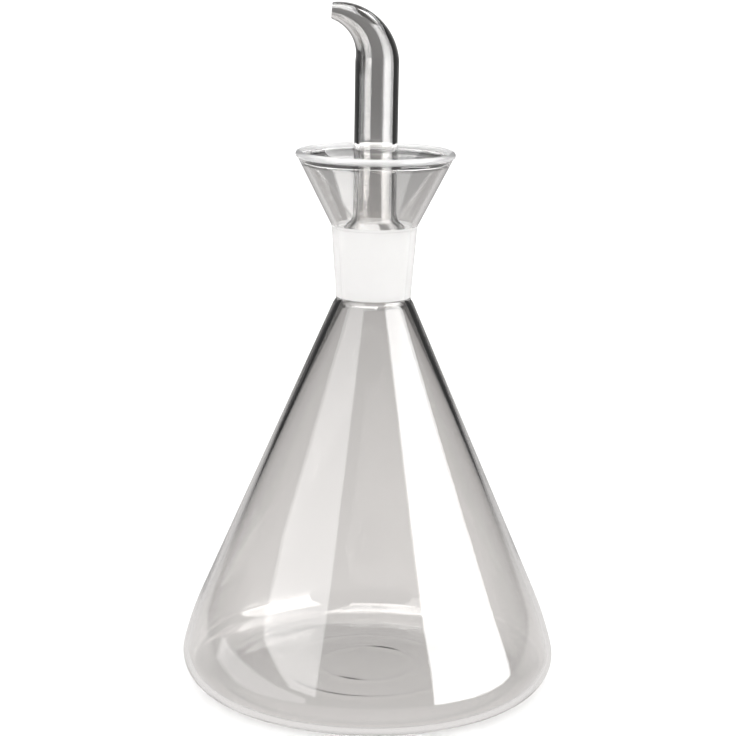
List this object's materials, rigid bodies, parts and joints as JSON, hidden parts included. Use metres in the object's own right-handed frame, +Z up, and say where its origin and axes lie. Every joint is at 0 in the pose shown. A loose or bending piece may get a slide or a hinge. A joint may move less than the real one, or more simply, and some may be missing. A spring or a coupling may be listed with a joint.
{
  "type": "glass oil cruet",
  "caption": "Conical clear glass oil bottle with a ground neck, a flared drip funnel and a lift-out glass pourer with a curved spout.",
  "frame": {"origin": "centre of the foot ring, on the surface that the flask stands on", "axes": "+Z up along the flask's axis, the spout pours towards -X, -Y is the front"},
  "size_m": [0.12, 0.12, 0.2174],
  "materials": {
    "clear_glass": "clear borosilicate, fire-polished",
    "ground_glass": "ground to a fine white matt"
  },
  "bodies": {
    "flask": {"flask_body": "clear_glass", "neck_socket": "ground_glass", "drip_funnel": "clear_glass"},
    "pourer": {"stopper_cone": "ground_glass", "spout_tube": "clear_glass"}
  },
  "joints": [
    {"name": "pourer_lift", "type": "slide", "parent": "flask", "child": "pourer", "axis": [0, 0, 1], "range_m": [0, 0.047]}
  ]
}
